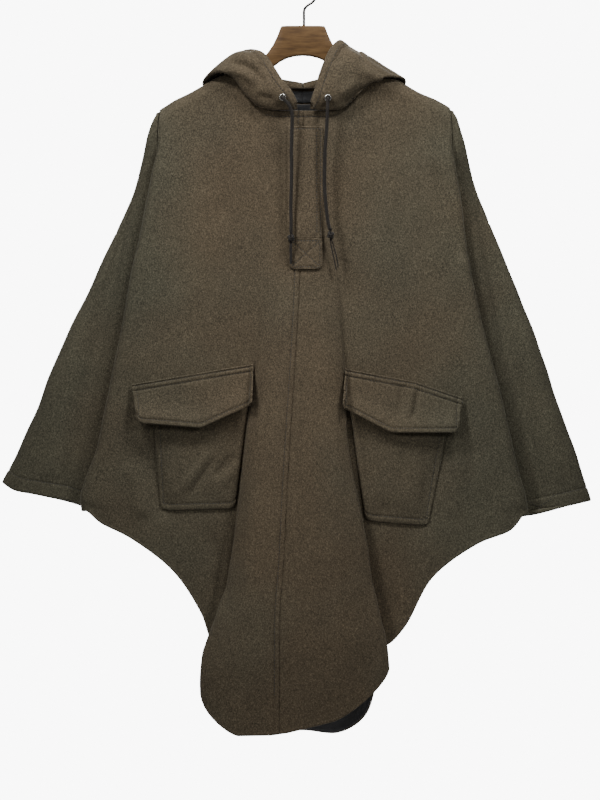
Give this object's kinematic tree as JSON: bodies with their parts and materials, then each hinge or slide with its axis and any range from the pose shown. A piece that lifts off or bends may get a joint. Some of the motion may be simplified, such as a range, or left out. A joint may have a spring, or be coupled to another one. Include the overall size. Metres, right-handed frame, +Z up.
{
  "type": "poncho coat on a hanger",
  "caption": "Hooded wool pullover poncho coat with wide sleeves, flap pockets, a half placket and a neck drawcord, hanging on a wooden hanger.",
  "frame": {"origin": "inside top of the hanger's hook, where it hangs on a rail", "axes": "+Z up, the garment's length; +X across to the right as the picture shows it, its width; the front faces -Y"},
  "size_m": [0.8875, 0.1978, 1.1443],
  "materials": {
    "wool": "heathered olive-brown boiled wool, matt, with a soft nap",
    "lining": "black smooth woven lining",
    "cord": "black round woven cord",
    "metal": "bright plated steel",
    "wood": "warm brown varnished wood"
  },
  "bodies": {
    "root": {"back_left": "wool", "back_lining": "lining", "back_right": "wool", "cuff_lining_left": "lining", "cuff_lining_right": "lining", "drawcord_left": "cord", "drawcord_right": "cord", "eyelet_left": "metal", "eyelet_right": "metal", "flap_left": "wool", "flap_right": "wool", "front_left": "wool", "front_right": "wool", "hanger": "wood", "hanger_hook": "metal", "hood_left": "wool", "hood_lining_left": "lining", "hood_lining_right": "lining", "hood_right": "wool", "knot_left": "cord", "knot_right": "cord", "neck_facing": "lining", "placket": "wool", "placket_box": "wool", "pocket_left": "wool", "pocket_right": "wool", "sleeve_left": "wool", "sleeve_right": "wool", "tail_left": "cord", "tail_right": "cord", "tail_right_2": "cord"}
  },
  "joints": []
}
